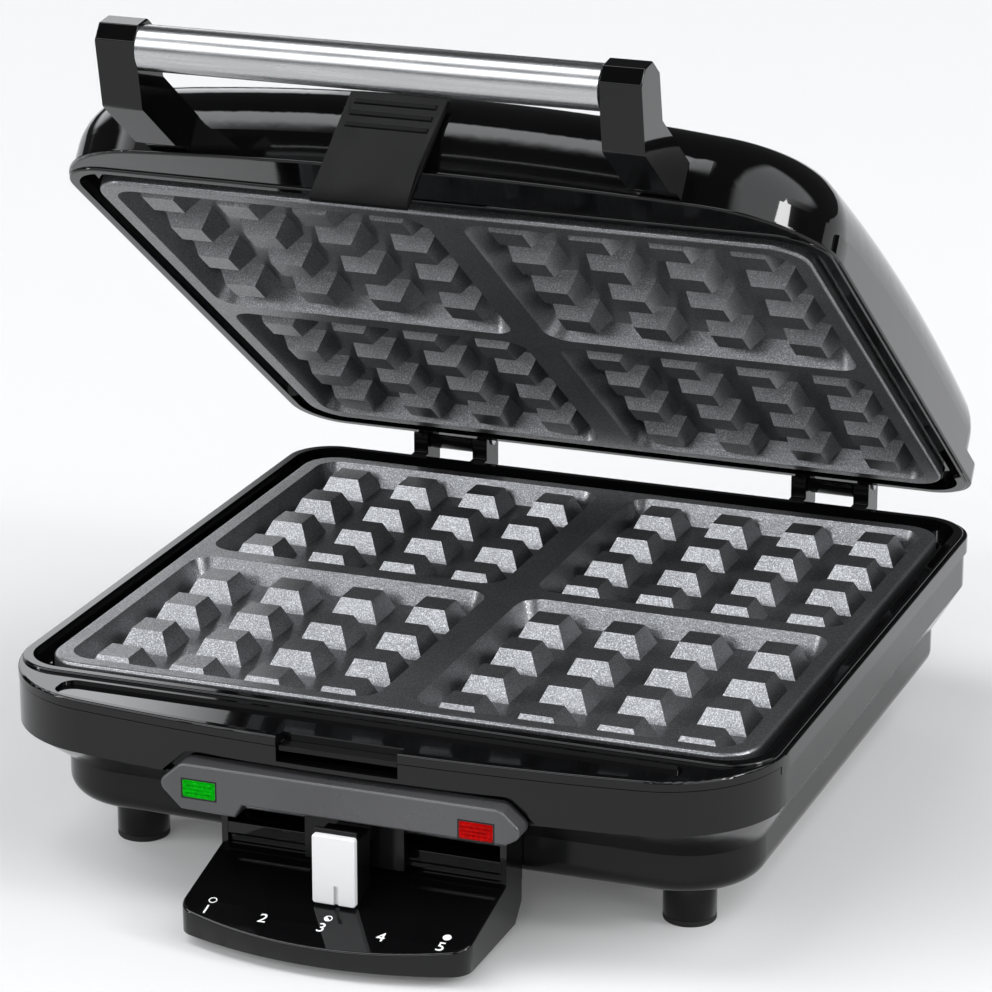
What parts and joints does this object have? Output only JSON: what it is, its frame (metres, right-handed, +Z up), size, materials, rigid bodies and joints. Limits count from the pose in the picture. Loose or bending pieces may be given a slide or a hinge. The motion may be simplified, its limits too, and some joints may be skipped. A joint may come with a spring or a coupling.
{
  "type": "waffle maker",
  "caption": "Countertop Belgian waffle maker with a four-square grid, hinged gloss lid, bracketed tube handle, sprung latch, browning slider and two indicator lenses",
  "frame": {"origin": "on the table under the middle of the grid plates", "axes": "+Z up, +X to the right seen from the front, -Y to the front"},
  "size_m": [0.248, 0.305, 0.2689],
  "materials": {
    "black_plastic": "satin moulded black",
    "gloss_black": "high-gloss black",
    "satin_black": "satin black",
    "satin_grey": "satin dark grey with a fine grain",
    "silver_plastic": "silver-white coated plastic",
    "nonstick": "dark non-stick coated cast aluminium with a fine fleck",
    "bright_steel": "stamped bright steel",
    "tube_steel": "polished steel tube",
    "screw_steel": "zinc-plated steel",
    "element_sheath": "heat-tinted tubular sheath",
    "reflector_sheet": "plain rolled sheet",
    "foot_rubber": "matt black rubber",
    "green_lens": "ribbed translucent green",
    "red_lens": "ribbed translucent red",
    "lamp_glass": "clear lamp glass",
    "ceramic_white": "off-white ceramic and thermoset"
  },
  "bodies": {
    "base": {"lower_housing": "black_plastic", "front_fascia": "gloss_black", "base_bezel": "gloss_black", "latch_catch": "black_plastic", "lower_grid_plate": "nonstick", "lower_heating_element": "element_sheath", "lower_element_clamps": "bright_steel", "lower_reflector": "reflector_sheet", "lower_plate_screws": "screw_steel", "rubber_feet": "foot_rubber", "housing_screws": "screw_steel", "indicator_panel": "satin_grey", "ready_lens": "green_lens", "power_lens": "red_lens", "indicator_lamps": "lamp_glass", "control_shelf": "gloss_black", "slider_ledge": "gloss_black", "slider_rail": "screw_steel", "thermostat_body": "ceramic_white", "thermal_fuse": "ceramic_white", "terminal_block": "ceramic_white", "cord_gland": "foot_rubber", "hinge_ears": "black_plastic", "hinge_pins": "screw_steel", "foot_posts": "black_plastic"},
    "lid": {"lid_knuckles": "black_plastic", "lid_bezel": "gloss_black", "lid_cover": "gloss_black", "upper_grid_plate": "nonstick", "upper_heating_element": "element_sheath", "upper_element_clamps": "bright_steel", "upper_reflector": "reflector_sheet", "upper_plate_screws": "screw_steel", "handle_bracket_left": "gloss_black", "handle_bracket_right": "gloss_black", "handle_tube": "tube_steel", "handle_screws": "screw_steel", "latch_pin": "screw_steel", "latch_bracket": "bright_steel"},
    "latch": {"latch_flap": "satin_black"},
    "slider": {"slider_carriage": "black_plastic", "slider_knob": "black_plastic", "knob_face": "silver_plastic"},
    "thermostat": {"thermostat_shaft": "screw_steel", "thermostat_lever": "bright_steel"}
  },
  "joints": [
    {"name": "lid_hinge", "type": "hinge", "parent": "base", "child": "lid", "pos_m": [0, 0.13, 0.0686], "axis": [-1, 0, 0], "range_deg": [-35.94, 69]},
    {"name": "latch_pivot", "type": "hinge", "parent": "lid", "child": "latch", "pos_m": [-0.007, -0.07924, 0.22942], "axis": [-1, 0, 0], "range_deg": [-7, 6], "stiffness_Nm_per_rad": 0.4},
    {"name": "browning_slide", "type": "slide", "parent": "base", "child": "slider", "axis": [1, 0, 0], "range_m": [-0.037, 0.037]},
    {"name": "thermostat_turn", "type": "hinge", "parent": "base", "child": "thermostat", "pos_m": [0, -0.061, 0.03], "axis": [0, 0, 1], "range_deg": [-34, 34]}
  ],
  "couplings": [
    {"joint": "thermostat_turn", "follows": "browning_slide", "rad_per_m": 16}
  ]
}
